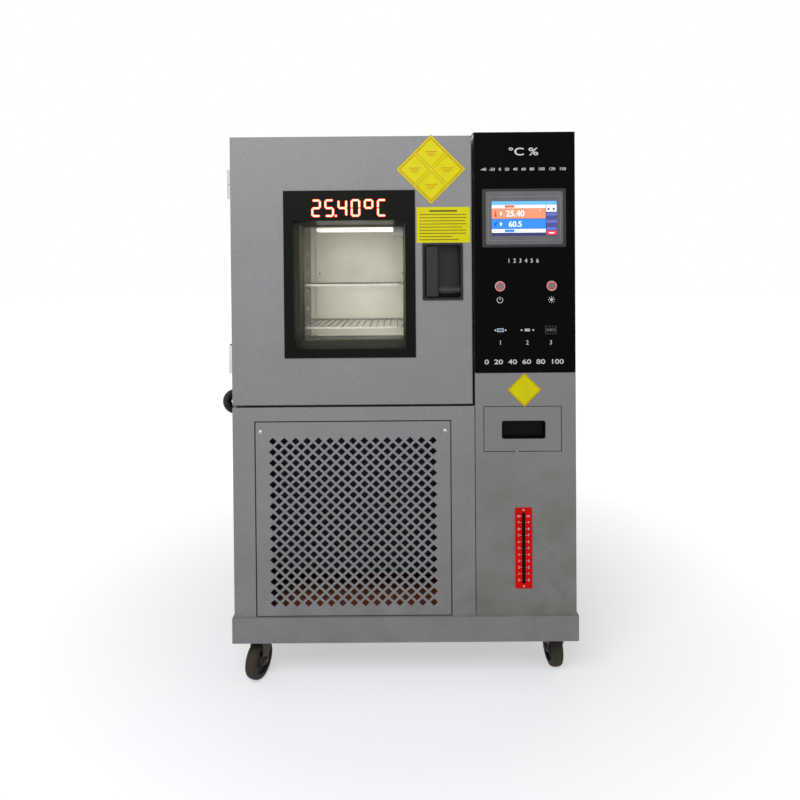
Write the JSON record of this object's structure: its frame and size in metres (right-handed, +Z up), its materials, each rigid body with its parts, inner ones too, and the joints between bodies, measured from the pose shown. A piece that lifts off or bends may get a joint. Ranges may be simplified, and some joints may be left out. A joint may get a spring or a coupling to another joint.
{
  "type": "environmental test chamber",
  "caption": "Floor-standing temperature and humidity test chamber: windowed door on side hinges, control tower, grilled machine bay and swivel casters.",
  "frame": {"origin": "on the floor under the middle of the outline, casters down", "axes": "+Z up, +X to the right when facing the door, -Y towards the person in front"},
  "size_m": [1.0081, 0.9605, 1.524],
  "materials": {
    "cabinet_paint": "fine textured powder coat",
    "control_black": "satin",
    "stainless": "satin",
    "galvanised": "dull",
    "insulation": "matt",
    "motor_shell": "satin",
    "coil": "dull",
    "copper_pipe": "dull",
    "board": "matt",
    "conduit": "satin",
    "rear_fitting": "satin",
    "hinge_metal": "polished",
    "window_black": "satin",
    "pane": "clear",
    "lamp": "frosted",
    "seal": "matt",
    "handle_black": "satin",
    "screen_frame": "satin",
    "screen": "semi-gloss",
    "collar_red": "gloss",
    "button_grey": "gloss",
    "socket_metal": "satin",
    "selector_black": "satin",
    "digit_white": "matt",
    "gauge_red": "semi-gloss",
    "tank": "translucent",
    "fan_metal": "satin",
    "caster_metal": "zinc plated",
    "caster_tread": "worn"
  },
  "bodies": {
    "cabinet": {"base_frame": "cabinet_paint", "lower_front_frame": "cabinet_paint", "grille_panel": "cabinet_paint", "column_front": "cabinet_paint", "control_panel": "control_black", "left_side_panel": "cabinet_paint", "right_side_panel": "cabinet_paint", "back_panel": "cabinet_paint", "rear_fittings": "rear_fitting", "top_panel": "cabinet_paint", "inner_bulkhead": "galvanised", "chamber_liner": "stainless", "chamber_insulation": "insulation", "cable_port": "stainless", "air_baffle": "stainless", "shelf_uprights": "stainless", "wire_shelves": "stainless", "air_coils": "coil", "fan_motor": "motor_shell", "cabinet_hinge_arms": "hinge_metal", "screen_housing": "screen_frame", "touch_screen": "screen", "button_collars": "collar_red", "data_ports": "socket_metal", "selector_housing": "selector_black", "drawer_runners": "galvanised", "gauge_plate": "gauge_red", "water_tank": "tank", "compressor": "motor_shell", "condenser": "coil", "refrigerant_pipes": "copper_pipe", "electrical_panel": "board", "wiring_conduit": "conduit"},
    "door": {"door_shell": "cabinet_paint", "catch_rollers": "hinge_metal", "door_inner_pan": "stainless", "door_insulation": "insulation", "window_frame": "window_black", "window_panes": "pane", "window_lamp": "lamp", "door_seal": "seal", "handle_cup": "handle_black", "door_hinge_arms": "hinge_metal"},
    "lever": {"handle_lever": "handle_black"},
    "power_key": {"power_button": "button_grey"},
    "light_key": {"light_button": "button_grey"},
    "hundreds": {"hundreds_wheel": "digit_white"},
    "tens": {"tens_wheel": "digit_white"},
    "units": {"units_wheel": "digit_white"},
    "drawer": {"water_drawer": "cabinet_paint"},
    "air_fan": {"circulation_fan": "fan_metal"},
    "cooling_fan": {"condenser_fan": "fan_metal"},
    "front_left_swivel": {"front_left_fork": "caster_metal"},
    "front_left_roller": {"front_left_wheel": "caster_tread"},
    "front_right_swivel": {"front_right_fork": "caster_metal"},
    "front_right_roller": {"front_right_wheel": "caster_tread"},
    "rear_left_swivel": {"rear_left_fork": "caster_metal"},
    "rear_left_roller": {"rear_left_wheel": "caster_tread"},
    "rear_right_swivel": {"rear_right_fork": "caster_metal"},
    "rear_right_roller": {"rear_right_wheel": "caster_tread"}
  },
  "joints": [
    {"name": "door_hinge", "type": "hinge", "parent": "cabinet", "child": "door", "pos_m": [-0.463, -0.378, 1.1497], "axis": [0, 0, -1], "range_deg": [0, 120]},
    {"name": "lever_pivot", "type": "hinge", "parent": "door", "child": "lever", "pos_m": [0.094, -0.4695, 1.1465], "axis": [0, 0, -1], "range_deg": [0, 40], "stiffness_Nm_per_rad": 0.6},
    {"name": "drawer_slide", "type": "slide", "parent": "cabinet", "child": "drawer", "axis": [0, -1, 0], "range_m": [0, 0.2]},
    {"name": "air_fan_spin", "type": "hinge", "parent": "cabinet", "child": "air_fan", "pos_m": [-0.11165, 0.08, 1.267], "axis": [0, 1, 0], "continuous": true},
    {"name": "cooling_fan_spin", "type": "hinge", "parent": "cabinet", "child": "cooling_fan", "pos_m": [-0.11165, -0.343, 0.496], "axis": [0, 1, 0], "continuous": true},
    {"name": "power_press", "type": "slide", "parent": "cabinet", "child": "power_key", "axis": [0, 1, 0], "range_m": [0, 0.003], "stiffness_N_per_m": 400},
    {"name": "light_press", "type": "slide", "parent": "cabinet", "child": "light_key", "axis": [0, 1, 0], "range_m": [0, 0.003], "stiffness_N_per_m": 400},
    {"name": "hundreds_turn", "type": "hinge", "parent": "cabinet", "child": "hundreds", "pos_m": [0.4226, -0.4666, 0.985], "axis": [1, 0, 0], "continuous": true},
    {"name": "tens_turn", "type": "hinge", "parent": "cabinet", "child": "tens", "pos_m": [0.431, -0.4666, 0.985], "axis": [1, 0, 0], "continuous": true},
    {"name": "units_turn", "type": "hinge", "parent": "cabinet", "child": "units", "pos_m": [0.4394, -0.4666, 0.985], "axis": [1, 0, 0], "continuous": true},
    {"name": "front_left_swivel_turn", "type": "hinge", "parent": "cabinet", "child": "front_left_swivel", "pos_m": [-0.379, -0.394, 0.127], "axis": [0, 0, 1], "continuous": true},
    {"name": "front_left_roll", "type": "hinge", "parent": "front_left_swivel", "child": "front_left_roller", "pos_m": [-0.38755, -0.41749, 0.052], "axis": [0.9397, -0.342, 0], "continuous": true},
    {"name": "front_right_swivel_turn", "type": "hinge", "parent": "cabinet", "child": "front_right_swivel", "pos_m": [0.461, -0.394, 0.127], "axis": [0, 0, 1], "continuous": true},
    {"name": "front_right_roll", "type": "hinge", "parent": "front_right_swivel", "child": "front_right_roller", "pos_m": [0.45882, -0.3691, 0.052], "axis": [-0.9962, -0.0872, 0], "continuous": true},
    {"name": "rear_left_swivel_turn", "type": "hinge", "parent": "cabinet", "child": "rear_left_swivel", "pos_m": [-0.379, 0.375, 0.127], "axis": [0, 0, 1], "continuous": true},
    {"name": "rear_left_roll", "type": "hinge", "parent": "rear_left_swivel", "child": "rear_left_roller", "pos_m": [-0.37466, 0.39962, 0.052], "axis": [-0.9848, 0.1736, 0], "continuous": true},
    {"name": "rear_right_swivel_turn", "type": "hinge", "parent": "cabinet", "child": "rear_right_swivel", "pos_m": [0.461, 0.375, 0.127], "axis": [0, 0, 1], "continuous": true},
    {"name": "rear_right_roll", "type": "hinge", "parent": "rear_right_swivel", "child": "rear_right_roller", "pos_m": [0.45043, 0.39766, 0.052], "axis": [-0.9063, -0.4226, 0], "continuous": true}
  ]
}
